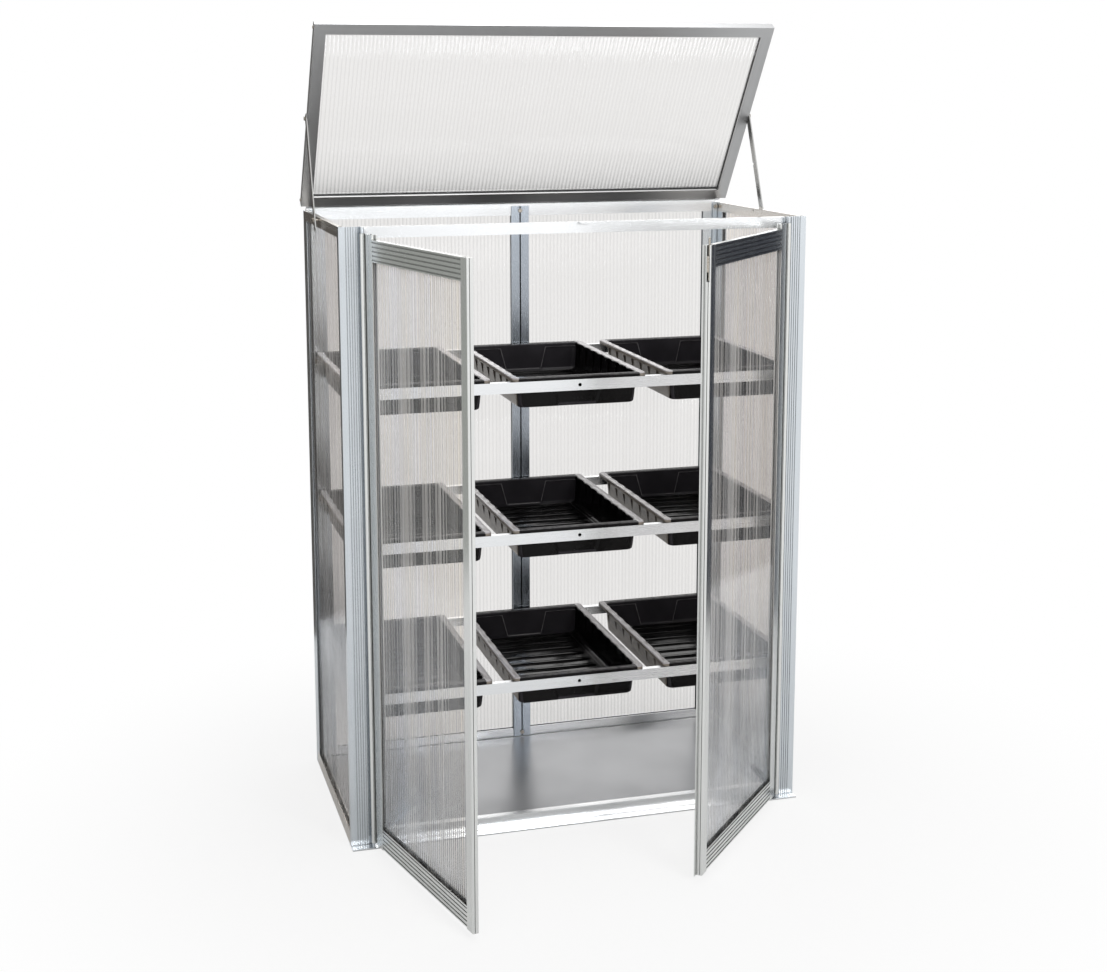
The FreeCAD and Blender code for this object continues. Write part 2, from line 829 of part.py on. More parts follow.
def stay_lean():
    """Turn about X that takes the hanging stay to its propped place."""
    pivot, foot = stay_places()
    return -math.degrees(math.atan2(pivot[0] - foot[0], pivot[1] - foot[1]))


def stay_bolt(head_x, tip_x, z):
    """Bolt along X through the left stay, its head on the outside."""
    cap = moved(turned(hex_head(), (0, 0, 0), (0, 0, 1), -90), head_x, -stay_pivot, z)
    return join(cap, cylinder(pin_r, tip_x - head_x, (head_x, -stay_pivot, z), (1, 0, 0)))


def pivot_bolt():
    """Left pivot bolt in the lid's closed frame."""
    head_x = -lid_edge_x - 2 * stay_gap - stay_t
    tip_x = -lid_edge_x + pin_deep - stay_gap
    return stay_bolt(head_x, tip_x, 0)


def foot_bolt():
    """Left foot bolt, in the same frame as the hanging stay."""
    head_x = -lid_edge_x - stay_gap - stay_t
    tip_x = -half - foot_bolt_gap
    return stay_bolt(head_x, tip_x, -stay_length())


# Fastener places on the frame


def frame_bolt_places():
    """Heads of the mullion's and the rear posts' bolts, on faces that look to -Y."""
    face = rear_in - mullion_t
    levels = (mullion_bolt_z, height - bolt_down)
    places = [(0, face, z) for z in levels]
    for side in (1, -1):
        places.append((side * (half - rear_bolt_in), core_front, height - bolt_down))
    return places


def shelf_bolt_places(top):
    """Bolt heads of one tier: front rail to front posts and rear rail to rear posts."""
    z = top - shelf_rail_h / 2
    x = half - rear_bolt_in
    front = [(side * x, front_shelf_y + shelf_rail_t, z) for side in (1, -1)]
    rear = [(side * x, rear_shelf_y - shelf_rail_t, z) for side in (1, -1)]
    return front, rear


def main():
    nodes = {}

    def put(name, shape):
        nodes[name] = shape

    def pair(name, shape):
        put("left_" + name, shape)
        put("right_" + name, mirrored(shape))

    frame_bolts = [moved(hex_bolt(bolt_shank), *p) for p in frame_bolt_places()]
    frame_holes = Part.makeCompound([moved(bolt_hole(bolt_shank), *p) for p in frame_bolt_places()])
    front_bolt = turned(hex_bolt(shelf_rail_t + post_face_t / 2), (0, 0, 0), (0, 0, 1), 180)
    front_hole = turned(bolt_hole(shelf_rail_t + post_face_t / 2), (0, 0, 0), (0, 0, 1), 180)
    shelf_bolts = []
    shelf_holes = []
    for top in shelf_tops:
        front, rear = shelf_bolt_places(top)
        shelf_bolts += [moved(front_bolt, *p) for p in front]
        shelf_bolts += [moved(hex_bolt(bolt_shank), *p) for p in rear]
        shelf_holes += [moved(front_hole, *p) for p in front]
        shelf_holes += [moved(bolt_hole(bolt_shank), *p) for p in rear]
    holes = Part.makeCompound(shelf_holes)

    front_left = front_post()
    put("front_left_post", front_left.cut(holes))
    put("front_right_post", mirrored(front_left).cut(holes))
    rear_left = rear_post()
    put("rear_left_post", rear_left.cut(holes).cut(frame_holes))
    put("rear_right_post", mirrored(rear_left).cut(holes).cut(frame_holes))
    put("front_sill", front_sill())
    put("rear_bottom_rail", rear_bottom_rail().cut(frame_holes))
    pair("bottom_rail", side_bottom_rail())
    put("front_top_rail", front_top_rail())
    put("rear_top_rail", rear_top_rail().cut(frame_holes))
    pair("top_rail", side_top_rail())
    put("rear_mullion", rear_mullion().cut(frame_holes))
    pair("rear_panel", rear_panel())
    pair("side_panel", side_panel())
    put("floor_sheet", floor_sheet())
    for name, top in zip(shelf_names, shelf_tops):
        put(name + "_shelf_front_rail", shelf_front_rail(top).cut(holes))
        put(name + "_shelf_rear_rail", shelf_rear_rail(top).cut(holes))
    put("frame_bolts", Part.makeCompound(frame_bolts))
    put("shelf_bolts", Part.makeCompound(shelf_bolts))

    up = (0, 0, 1)
    for piece, shape in door_pieces().items():
        left = turned(shape, (0, 0, 0), up, -left_door_open)
        put("left_door_" + piece, moved(left, front_axis_x, front_axis_y, 0))
        if piece == "free_stile":
            shape = join(shape, meeting_stop()).cut(slide_bolt_slot())
        right = turned(mirrored(shape), (0, 0, 0), up, right_door_open)
        put("right_door_" + piece, moved(right, -front_axis_x, front_axis_y, 0))
    bolt = turned(mirrored(slide_bolt()), (0, 0, 0), up, right_door_open)
    put("right_door_slide_bolt", moved(bolt, -front_axis_x, front_axis_y, 0))

    def on_lid(shape):
        opened = turned(shape, (0, 0, 0), (1, 0, 0), -lid_open)
        return moved(opened, 0, lid_axis_y, lid_axis_z)

    screw = turned(pan_screw(), (0, 0, 0), (0, 0, 1), 90)
    drill = turned(screw_hole(), (0, 0, 0), (0, 0, 1), 90)
    lid_screws = [moved(screw, *p) for p in lid_screw_places()]
    drills = Part.makeCompound([moved(drill, *p) for p in lid_screw_places()])
    stile = lid_stile().cut(drills)
    put("lid_rear_rail", on_lid(lid_rear_rail()))
    put("lid_front_rail", on_lid(lid_front_rail().cut(drills).cut(mirrored(drills))))
    put("lid_left_stile", on_lid(stile))
    put("lid_right_stile", on_lid(mirrored(stile)))
    put("lid_panel", on_lid(lid_panel()))
    put("lid_screws", on_lid(Part.makeCompound(lid_screws + [mirrored(s) for s in lid_screws])))
    pivot = pivot_bolt()
    put("stay_pivot_bolts", on_lid(Part.makeCompound([pivot, mirrored(pivot)])))

    pivot_y, pivot_z = stay_places()[0]

    def on_stay(shape):
        hung = moved(shape, 0, stay_pivot, 0)
        return moved(turned(hung, (0, 0, 0), (1, 0, 0), stay_lean()), 0, pivot_y, pivot_z)

    for name, shape in (("stay", on_stay(stay())), ("stay_foot_bolt", on_stay(foot_bolt()))):
        pair(name, shape)

    tray = tray_shape()
    for level, top in zip(shelf_names, shelf_tops):
        for i, place in enumerate(tray_names):
            put("tray_" + level + "_" + place, moved(tray, (i - 1) * tray_pitch, 0, top))

    for name, shape in nodes.items():
        shape.exportStep(os.path.join("parts", name + ".step"))
        print(name, len(shape.Solids), shape.isValid(), round(shape.Volume / 1000, 2))


main()
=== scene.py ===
import math

import bmesh
import bpy
from mathutils import Matrix, Vector

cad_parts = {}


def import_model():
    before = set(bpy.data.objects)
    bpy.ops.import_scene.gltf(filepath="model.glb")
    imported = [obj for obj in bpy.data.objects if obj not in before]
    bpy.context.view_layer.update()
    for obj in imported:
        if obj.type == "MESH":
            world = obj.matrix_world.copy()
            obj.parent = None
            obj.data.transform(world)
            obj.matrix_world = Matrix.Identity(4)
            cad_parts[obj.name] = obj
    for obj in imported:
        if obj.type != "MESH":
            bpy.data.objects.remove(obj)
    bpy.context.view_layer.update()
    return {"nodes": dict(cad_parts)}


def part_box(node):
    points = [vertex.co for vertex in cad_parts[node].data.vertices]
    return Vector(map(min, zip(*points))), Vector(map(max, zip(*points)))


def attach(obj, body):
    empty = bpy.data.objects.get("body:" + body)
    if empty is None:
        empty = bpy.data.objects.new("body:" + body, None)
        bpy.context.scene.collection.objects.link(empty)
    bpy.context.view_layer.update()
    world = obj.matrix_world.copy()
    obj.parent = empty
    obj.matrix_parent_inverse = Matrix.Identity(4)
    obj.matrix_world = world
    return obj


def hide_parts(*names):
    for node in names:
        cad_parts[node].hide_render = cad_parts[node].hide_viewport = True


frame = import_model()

NODES = frame["nodes"]
SCENE = bpy.context.scene

# All lengths are in metres

# How far the photo shows the lid and the doors open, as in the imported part
LID_OPEN = math.radians(55.0)
LEFT_DOOR_OPEN = math.radians(76.2)
RIGHT_DOOR_OPEN = math.radians(47.4)

# Clear sheets: each rib is a shallow lens, drawn with this many facets
WEB_PITCH = 0.0105
RIB_SAG = 0.0007
RIB_FACETS = 6
STRIPS_PER_RIB = 1.7

# Trays: heights run down from the top
TRAY_WALL = 0.0018
TRAY_RIM = 0.015
TRAY_SKIRT = 0.010
TRAY_DRAFT = 0.0065
TRAY_CORNER = 0.016
OUTER_TURN = 0.006
INNER_TURN = 0.009
CORNER_STEPS = 5
SIDE_STEPS = 104
END_STEPS = 90
RIM_WAVE = 0.062
RIM_SWAY = 0.0040
RIM_DIP = 0.0012
FLOOR_RIBS = 10
FLOOR_RIB = (0.020, 0.004)
EDGE_RIB = (0.008, 0.0055)
RIB_MARGIN = 0.034
SIDE_RIBS = 8
SIDE_RIB_FOOT = -0.066
SIDE_RIB_HALF = 0.0013

# The rim's section: insets, heights and corner radii
RIM_EDGE = ((TRAY_WALL, -TRAY_WALL, 0.0072), (TRAY_WALL, -TRAY_SKIRT, 0.0072), (0.0, -TRAY_SKIRT, 0.009))
RIM_EDGE += ((0.0, -0.0022, 0.009), (0.0007, -0.0006, 0.0085))
RIM_TOP = ((0.0024, 0.0, 0.008), (0.0050, -0.0010, 0.008), (0.0105, -0.0010, 0.011))
RIM_TOP += ((0.0130, 0.0, 0.013), (0.0152, -0.0006, 0.0145))

# Sunk panels of the tray's end walls: the plain part between them has this half width at the top, and
# narrows downwards by this slope
PANEL_SLOPE = 0.012 / 0.047
PANEL_HALF = 0.066 + PANEL_SLOPE * 0.010
PANEL_TOP = -0.011
PANEL_SUNK = 0.003

# Tones of the metal; the mullion and the lid are darker tones of the same aluminium, as painted shade
POST_TONE = (0.64, 0.68, 0.715)
MULLION_SHADED_TONE = (0.46, 0.51, 0.57)
FRAME_TONE = (0.80, 0.815, 0.83)
SIDE_TONE = (0.72, 0.69, 0.65)
DOOR_TONE = (0.74, 0.75, 0.74)
LID_SHADED_TONE = (0.50, 0.505, 0.51)
STAY_TONE = (0.5, 0.5, 0.49)
FLOOR_TONE = (0.26, 0.265, 0.275)
ZINC_DARK = (0.30, 0.27, 0.23)
ZINC_LIGHT = (0.58, 0.54, 0.48)

# Finish of the metal: the least and greatest roughness, and how dark a groove gets between two openings,
# as painted shade
SATIN = (0.20, 0.30)
LID_SATIN = (0.34, 0.42)
GROOVE_SHADE = (0.35, 0.25, 0.95)
POST_GROOVE_SHADE = (0.5, 0.5, 0.92)
RAIL_GROOVE_SHADE = (0.25, 0.72, 0.97)
MULLION_SLOT_SHADE = 0.002
EDGE = 0.0006
RAIL_EDGE = 0.0010

# Tones of the trays and the sheets
TRAY_BLACK = (0.0020, 0.0018, 0.0019)
TRAY_WEAK_BLACK = (0.0042, 0.0038, 0.0040)
TRAY_END_WALL_LIGHT = (0.028, 0.026, 0.030)
TRAY_PANEL_HIGHLIGHT = (0.15, 0.145, 0.15)
TRAY_OUTSIDE_LIGHT = (0.25, 0.22, 0.19)
TRAY_RIM_WEAR_AND_HIGHLIGHT = (0.50, 0.48, 0.50)
WARM_CAST = (1.0, 0.975, 0.93)
COOL_CAST = (0.95, 0.96, 1.0)
SHEET_MILK = (0.92, 0.905, 0.885, 1)
SHEET_GLOSS = (0.88, 0.90, 0.93, 1)
SHEET_SHADOW = (0.90, 0.90, 0.89, 1)

# Stage and camera
FLOOR_HALF = 14.0
FLOOR_DROP = 0.0005
CARD_HEIGHT = 2.6
CAMERA_AT = (-1.2336, -4.0207, 1.8964)
CAMERA_ANGLES = (15.75, 9.59, 0.10)
CAMERA_LENS = 55.17
CAMERA_SHIFT = (0.0098, -0.10)


# Node helpers


class Tree:
    """A node tree with short ways to add and join nodes."""

    def __init__(self, tree):
        self.tree = tree
        tree.nodes.clear()

    def add(self, kind, **values):
        node = self.tree.nodes.new(kind)
        for key, value in values.items():
            if key in node.inputs:
                self.put(node.inputs[key], value)
            else:
                setattr(node, key, value)
        return node

    def put(self, socket, value):
        if isinstance(value, bpy.types.NodeSocket):
            self.tree.links.new(value, socket)
        else:
            socket.default_value = value

    def math(self, operation, a, b=0.0):
        node = self.add("ShaderNodeMath", operation=operation)
        self.put(node.inputs[0], a)
        self.put(node.inputs[1], b)
        return node.outputs[0]

    def times(self, product, *values):
        for value in values:
            product = self.math("MULTIPLY", product, value)
        return product

    def weighted(self, *terms):
        """Sum of values, each times its weight."""
        total, *others = [self.math("MULTIPLY", value, weight) for value, weight in terms]
        for term in others:
            total = self.math("ADD", total, term)
        return total

    def ramp(self, value, low, high, to_low, to_high):
        """From one number to another as the value goes from low to high."""
        node = self.add("ShaderNodeMapRange", interpolation_type="SMOOTHSTEP")
        self.put(node.inputs["Value"], value)
        ends = {"From Min": low, "From Max": high, "To Min": to_low, "To Max": to_high}
        for key, number in ends.items():
            node.inputs[key].default_value = number
        return node.outputs["Result"]

    def colour(self, factor, first, second, blend_type="MIX"):
        """From one colour to another, each plain or linked."""
        node = self.add("ShaderNodeMix", data_type="RGBA", blend_type=blend_type)
        self.put(node.inputs["Factor"], factor)
        sockets = [s for s in node.inputs if s.type == "RGBA"]
        for socket, value in zip(sockets, (first, second)):
            linked = isinstance(value, bpy.types.NodeSocket)
            self.put(socket, value if linked else (*value, 1))
        return next(o for o in node.outputs if o.type == "RGBA")

    def scaled(self, colour, level):
        node = self.add("ShaderNodeVectorMath", operation="SCALE")
        self.put(node.inputs[0], colour)
        self.put(node.inputs["Scale"], level)
        return node.outputs[0]

    def spot(self, space="Object"):
        """The X, Y and Z of the shaded point."""
        place = self.add("ShaderNodeTexCoord").outputs[space]
        return self.add("ShaderNodeSeparateXYZ", Vector=place).outputs

    def noise(self, scale, turn=(0, 0, 0), detail=3.0):
        """Noise in the object's own frame, stretched by scale along its axes after a turn."""
        place = self.add("ShaderNodeTexCoord").outputs["Object"]
        first = self.add("ShaderNodeMapping", Vector=place, Rotation=turn)
        second = self.add("ShaderNodeMapping", Vector=first.outputs[0], Scale=scale)
        node = self.add("ShaderNodeTexNoise", Vector=second.outputs[0], Scale=1.0, Detail=detail)
        return node.outputs["Fac"]

    def chance(self, cell, seed):
        """A number from 0 to 1 for each cell."""
        number = self.math("ADD", cell, seed)
        node = self.add("ShaderNodeTexWhiteNoise", noise_dimensions="1D", W=number)
        return node.outputs["Value"]

    def shade(self, colour, reach, depth, closed=0.25, open_air=0.95):
        """The colour with painted shade: darker in grooves and slots narrower than reach."""
        hollow = self.add("ShaderNodeAmbientOcclusion", Color=(1, 1, 1, 1), Distance=reach, samples=6)
        return self.scaled(colour, self.ramp(hollow.outputs["AO"], closed, open_air, depth, 1.0))

    def bump(self, height, distance, strength):
        node = self.add("ShaderNodeBump", Height=height, Distance=distance, Strength=strength)
        return node.outputs["Normal"]

    def mix(self, factor, first, second):
        node = self.add("ShaderNodeMixShader")
        self.put(node.inputs[0], factor)
        self.put(node.inputs[1], first.outputs[0])
        self.put(node.inputs[2], second.outputs[0])
        return node

    def seen(self):
        """1 for what the camera, a reflection or a sheet shows, 0 for light that falls on the object."""
        path = self.add("ShaderNodeLightPath").outputs
        mirrored = self.math("MAXIMUM", path["Is Glossy Ray"], path["Is Transmission Ray"])
        return self.math("MAXIMUM", path["Is Camera Ray"], mirrored)


def material(name):
    made = bpy.data.materials.new(name)
    made.use_nodes = True
    return made, Tree(made.node_tree)


def finish_material(tree, shader):
    tree.add("ShaderNodeOutputMaterial", Surface=shader.outputs[0])


def add_object(name, data):
    made = bpy.data.objects.new(name, data)
    SCENE.collection.objects.link(made)
    return made


# Materials


def aluminium(name, tone, along, turn=(0, 0, 0), roughness=SATIN, groove=GROOVE_SHADE, slot=0.0):
    """Extruded aluminium: die lines that run along one axis, soft blotches, a satin gloss, painted shade in
    its grooves, and painted shade as a black slot of this half width along its middle."""
    made, tree = material(name)
    fine = [900.0, 900.0, 900.0]
    broad = [60.0, 60.0, 60.0]
    fine["XYZ".index(along)] = 1.5
    broad["XYZ".index(along)] = 0.8
    lines = tree.noise(fine, turn, 2.0)
    bands = tree.noise(broad, turn, 2.0)
    cloud = tree.noise((4.0, 4.0, 4.0), turn, 4.0)
    mixed = tree.weighted((lines, 0.25), (bands, 0.40), (cloud, 0.35))
    dark = [c * 0.95 for c in tone]
    light = [min(1.0, c * 1.04) for c in tone]
    colour = tree.colour(tree.ramp(mixed, 0.3, 0.7, 0.0, 1.0), dark, light)
    # Painted shade: the slot along the middle is coloured nearly black.
    if slot:
        across = tree.math("ABSOLUTE", tree.spot()["X"])
        colour = tree.scaled(colour, tree.ramp(across, slot * 0.8, slot * 1.1, 0.02, 1.0))
    rough = tree.ramp(mixed, 0.3, 0.7, roughness[1], roughness[0])
    shader = tree.add("ShaderNodeBsdfPrincipled", Metallic=1.0, Roughness=rough)
    # Painted shade: the colour is darker in the grooves.
    tree.put(shader.inputs["Base Color"], tree.shade(colour, 0.006, *groove))
    tree.put(shader.inputs["Normal"], tree.bump(lines, 0.0003, 0.02))
    finish_material(tree, shader)
    return made


def plate(name, tone):
    """Smooth mill-finish plate: even tone, faint rolling marks along X, soft scuffs."""
    made, tree = material(name)
    rolled = tree.noise((0.6, 420.0, 420.0), detail=2.0)
    scuff = tree.noise((6.0, 6.0, 6.0), detail=5.0)
    mixed = tree.weighted((rolled, 0.25), (scuff, 0.75))
    colour = tree.colour(mixed, [c * 0.96 for c in tone], [c * 1.04 for c in tone])
    rough = tree.ramp(scuff, 0.3, 0.7, 0.28, 0.34)
    shader = tree.add("ShaderNodeBsdfPrincipled", Metallic=1.0, Roughness=rough)
    tree.put(shader.inputs["Base Color"], colour)
    tree.put(shader.inputs["Normal"], tree.bump(scuff, 0.0002, 0.05))
    finish_material(tree, shader)
    return made


def steel(name):
    """Zinc-plated steel, mottled and a little matt, with painted shade in its hollows."""
    made, tree = material(name)
    mottle = tree.noise((300.0, 300.0, 300.0), detail=4.0)
    rough = tree.ramp(mottle, 0.3, 0.7, 0.18, 0.36)
    shader = tree.add("ShaderNodeBsdfPrincipled", Metallic=1.0, Roughness=rough)
    colour = tree.colour(mottle, ZINC_DARK, ZINC_LIGHT)
    # Painted shade: darker in the hollows.
    tree.put(shader.inputs["Base Color"], tree.shade(colour, 0.004, 0.3))
    tree.put(shader.inputs["Normal"], tree.bump(mottle, 0.0003, 0.1))
    finish_material(tree, shader)
    return made


def plastic(name, half, middle, reach, deep):
    """Black moulded tray plastic: a fine grain, matt and glossy patches, painted shade in its hollows,
    painted light on the inner end walls and the outsides, a painted highlight with scuffed wear on the side
    rims, and a painted highlight round the sunk end panels. The tray's X runs from its middle and Z from
    its top, and its ends are as far as reach from its middle in Y."""
    made, tree = material(name)
    place = tree.spot()
    level = place["Z"]
    wide = tree.math("ABSOLUTE", place["X"])
    long = tree.math("ABSOLUTE", tree.math("SUBTRACT", place["Y"], middle))
    draft = tree.math("MULTIPLY", level, -TRAY_DRAFT / deep)
    grain = tree.noise((1400.0, 1400.0, 1400.0), detail=2.0)
    patch = tree.noise((9.0, 5.0, 9.0), detail=3.0)
    scuff = tree.noise((60.0, 14.0, 60.0), detail=4.0)
    rubbed = tree.ramp(scuff, 0.2, 0.7, 0.5, 1.0)

    # Where the end walls, their panels' edges, the outsides and the side rims' tops are: the places of
    # painted light and painted highlight, and of wear on the rims
    endwise = tree.math("ADD", long, draft)
    end_wall = tree.ramp(endwise, reach - 0.0240, reach - 0.0215, 0.0, 1.0)
    end_wall = tree.times(end_wall, tree.ramp(endwise, reach - 0.01665, reach - 0.0164, 1.0, 0.0))
    # Painted highlight: a pale line round the sunk end panels, in patches.
    between = tree.math("ADD", tree.math("MULTIPLY", level, PANEL_SLOPE), PANEL_HALF)
    below = tree.math("SUBTRACT", PANEL_TOP, level)
    inside = tree.math("MINIMUM", tree.math("SUBTRACT", wide, between), below)
    panel_highlight = tree.ramp(tree.math("ABSOLUTE", inside), 0.0006, 0.0018, 1.0, 0.0)
    panel_highlight = tree.times(panel_highlight, tree.ramp(level, -0.074, -0.066, 0.0, 1.0), end_wall, rubbed)
    # Painted light: the outer walls are lighter, in rubbed patches.
    sidewise = tree.math("ADD", wide, draft)
    outside = tree.ramp(sidewise, half - 0.0162, half - 0.0156, 0.0, 1.0)
    # Painted highlight and wear: the tops of the side rims are lighter, in scuffed patches.
    on_top = tree.ramp(level, -0.0040, -0.0018, 0.0, 1.0)
    on_side = tree.ramp(wide, half - 0.019, half - 0.016, 0.12, 1.0)
    rim_wear_and_highlight = tree.times(on_top, on_side, tree.ramp(scuff, 0.25, 0.6, 0.35, 1.0))

    colour = tree.colour(tree.ramp(patch, 0.35, 0.75, 0.0, 1.0), TRAY_BLACK, TRAY_WEAK_BLACK)
    # Painted light: the inner end walls are lighter, in patches.
    lit_end_wall = tree.times(end_wall, tree.ramp(patch, 0.2, 0.8, 0.6, 1.0))
    colour = tree.colour(lit_end_wall, colour, TRAY_END_WALL_LIGHT)
    colour = tree.colour(panel_highlight, colour, TRAY_PANEL_HIGHLIGHT)
    colour = tree.colour(tree.times(outside, rubbed), colour, TRAY_OUTSIDE_LIGHT)
    colour = tree.colour(rim_wear_and_highlight, colour, TRAY_RIM_WEAR_AND_HIGHLIGHT)
    rough = tree.ramp(patch, 0.3, 0.7, 0.11, 0.19)
    shader = tree.add("ShaderNodeBsdfPrincipled", Roughness=rough)
    shader.inputs["Specular IOR Level"].default_value = 0.13
    # Painted shade: darker in the tray's hollows.
    tree.put(shader.inputs["Base Color"], tree.shade(colour, 0.010, 0.05, 0.3, 0.9))
    tree.put(shader.inputs["Normal"], tree.bump(grain, 0.0002, 0.06))
    finish_material(tree, shader)
    return made


def sheet(name, tint, veil, streak, web_dark, warmth, gloss_ior):
    """Clear twin-wall sheet: webs show as fine grey lines, and narrow strips along the ribs are more or
    less milky, with a warm or cool cast."""
    made, tree = material(name)
    ribs = tree.add("ShaderNodeUVMap", uv_map="rib").outputs[0]
    across = tree.add("ShaderNodeSeparateXYZ", Vector=ribs).outputs["X"]
    phase = tree.math("FRACT", across)
    to_web = tree.math("MINIMUM", phase, tree.math("SUBTRACT", 1.0, phase))
    web = tree.ramp(to_web, 0.02, 0.20, 1.0, 0.0)
    lined = tree.colour(web, tint, [c * web_dark for c in tint])
    strip = tree.math("FLOOR", tree.math("MULTIPLY", across, STRIPS_PER_RIB))
    cast = tree.colour(tree.chance(strip, 7.3), WARM_CAST, COOL_CAST)
    colour = tree.colour(warmth, lined, cast, "MULTIPLY")
    view = tree.add("ShaderNodeBsdfTransparent", Color=colour)
    front = tree.add("ShaderNodeBsdfDiffuse", Color=SHEET_MILK)
    through = tree.add("ShaderNodeBsdfTranslucent", Color=SHEET_MILK)
    milky = tree.math("POWER", tree.chance(strip, 0.3), 2.0)
    cloud = tree.math("ADD", tree.math("MULTIPLY", milky, streak), veil)
    cloudy = tree.mix(cloud, view, tree.mix(0.5, front, through))
    haze = tree.noise((7.0, 7.0, 7.0), detail=3.0)
    rough = tree.ramp(haze, 0.3, 0.7, 0.06, 0.12)
    gloss = tree.add("ShaderNodeBsdfGlossy", Color=SHEET_GLOSS, Roughness=rough)
    outside = tree.math("SUBTRACT", 1.0, tree.add("ShaderNodeNewGeometry").outputs["Backfacing"])
    mirror = tree.times(tree.add("ShaderNodeFresnel", IOR=gloss_ior).outputs[0], outside)
    body = tree.mix(mirror, cloudy, gloss)
    clear = tree.add("ShaderNodeBsdfTransparent", Color=SHEET_SHADOW)
    in_shadow = tree.add("ShaderNodeLightPath").outputs["Is Shadow Ray"]
    finish_material(tree, tree.mix(in_shadow, body, clear))
    return made


# Materials on the CAD nodes


def dress(names, made):
    """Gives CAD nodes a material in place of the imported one."""
    for name in names:
        mesh = NODES[name].data
        mesh.materials.clear()
        mesh.materials.append(made)


def soften(names, width):
    """Rounds the edges of CAD nodes a little, so that they catch the light."""
    for name in names:
        bevel = NODES[name].modifiers.new("edge", "BEVEL")
        bevel.width = width
        bevel.segments = 2
        bevel.limit_method = "ANGLE"
        bevel.angle_limit = math.radians(40)
        bevel.use_clamp_overlap = True
        bevel.harden_normals = True


def named(*parts):
    """CAD nodes whose name holds every one of these parts."""
    return [n for n in NODES if all(p in n for p in parts)]


def dress_cad_nodes():
    posts = named("_post")
    x_rails = ["front_sill", "rear_bottom_rail", "front_top_rail", "rear_top_rail"]
    x_rails += named("shelf", "rail")
    y_rails = ["left_bottom_rail", "right_bottom_rail", "left_top_rail", "right_top_rail"]
    door_stiles = named("door", "stile")
    lid_rails = ["lid_rear_rail", "lid_front_rail"]
    lid_stiles = ["lid_left_stile", "lid_right_stile"]
    lid_turn = (LID_OPEN, 0, 0)
    dress(posts, aluminium("upright_aluminium", POST_TONE, "Z", groove=POST_GROOVE_SHADE))
    # Painted shade: the mullion gets a darker tone than the other rails.
    dress(["rear_mullion"], aluminium("mullion_aluminium", MULLION_SHADED_TONE, "Z", slot=MULLION_SLOT_SHADE))
    dress(x_rails, aluminium("cross_aluminium", FRAME_TONE, "X"))
    dress(y_rails, aluminium("side_aluminium", SIDE_TONE, "Y"))
    dress(door_stiles, aluminium("door_stile_aluminium", DOOR_TONE, "Z"))
    for hand, angle in (("left", LEFT_DOOR_OPEN), ("right", -RIGHT_DOOR_OPEN)):
        rails = named(hand + "_door", "_rail")
        made = aluminium(hand + "_rail_aluminium", DOOR_TONE, "X", (0, 0, angle), groove=RAIL_GROOVE_SHADE)
        dress(rails, made)
        soften(rails, RAIL_EDGE)
    # Painted shade: the lid's frame gets a darker tone.
    dress(lid_rails, aluminium("lid_rail_aluminium", LID_SHADED_TONE, "X", roughness=LID_SATIN))
    dress(lid_stiles, aluminium("lid_stile_aluminium", LID_SHADED_TONE, "Y", lid_turn, LID_SATIN))
    dress(["left_stay", "right_stay"], aluminium("stay_aluminium", STAY_TONE, "Z"))
    dress(["floor_sheet"], plate("floor_aluminium", FLOOR_TONE))
    dress(named("bolt") + named("screws"), steel("zinc_steel"))
    soften(posts + x_rails + y_rails + door_stiles + lid_rails + lid_stiles, EDGE)


# Twin-wall sheets


def ribbed_sheet(node, body, axes, sag, made):
    """Sheet in place of a CAD panel. The axes are its own directions: across the ribs, along them and
    through it."""
    turn = Matrix(axes)
    corners = [turn @ v.co for v in NODES[node].data.vertices]
    low = Vector(min(c[i] for c in corners) for i in range(3))
    high = Vector(max(c[i] for c in corners) for i in range(3))
    middle = (low.x + high.x) / 2
    step = WEB_PITCH / RIB_FACETS
    count = int((high.x - middle) / step)
    stops = [low.x] + [middle + i * step for i in range(1 - count, count)] + [high.x]
    work = bmesh.new()
    uv = work.loops.layers.uv.new("rib")
    rows = []
    for across in stops:
        bow = sag * (1 - abs(math.sin(math.pi * (across - middle) / WEB_PITCH)))
        rows.append([
            work.verts.new((across, low.y, low.z + bow)),
            work.verts.new((across, high.y, low.z + bow)),
            work.verts.new((across, high.y, high.z - bow)),
            work.verts.new((across, low.y, high.z - bow)),
        ])
    for a, b in zip(rows, rows[1:]):
        for i in range(4):
            face = work.faces.new((a[i], b[i], b[(i + 1) % 4], a[(i + 1) % 4]))
            face.smooth = i % 2 == 0
    work.faces.new(rows[0])
    work.faces.new(reversed(rows[-1]))
    for face in work.faces:
        for loop in face.loops:
            loop[uv].uv = ((loop.vert.co.x - middle) / WEB_PITCH, loop.vert.co.y)
    bmesh.ops.transform(work, matrix=turn.transposed().to_4x4(), verts=work.verts)
    bmesh.ops.recalc_face_normals(work, faces=work.faces)
    mesh = bpy.data.meshes.new(node + "_ribbed")
    work.to_mesh(mesh)
    work.free()
    mesh.materials.append(made)
    piece = add_object(node + "_ribbed", mesh)
    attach(piece, body)
    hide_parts(node)


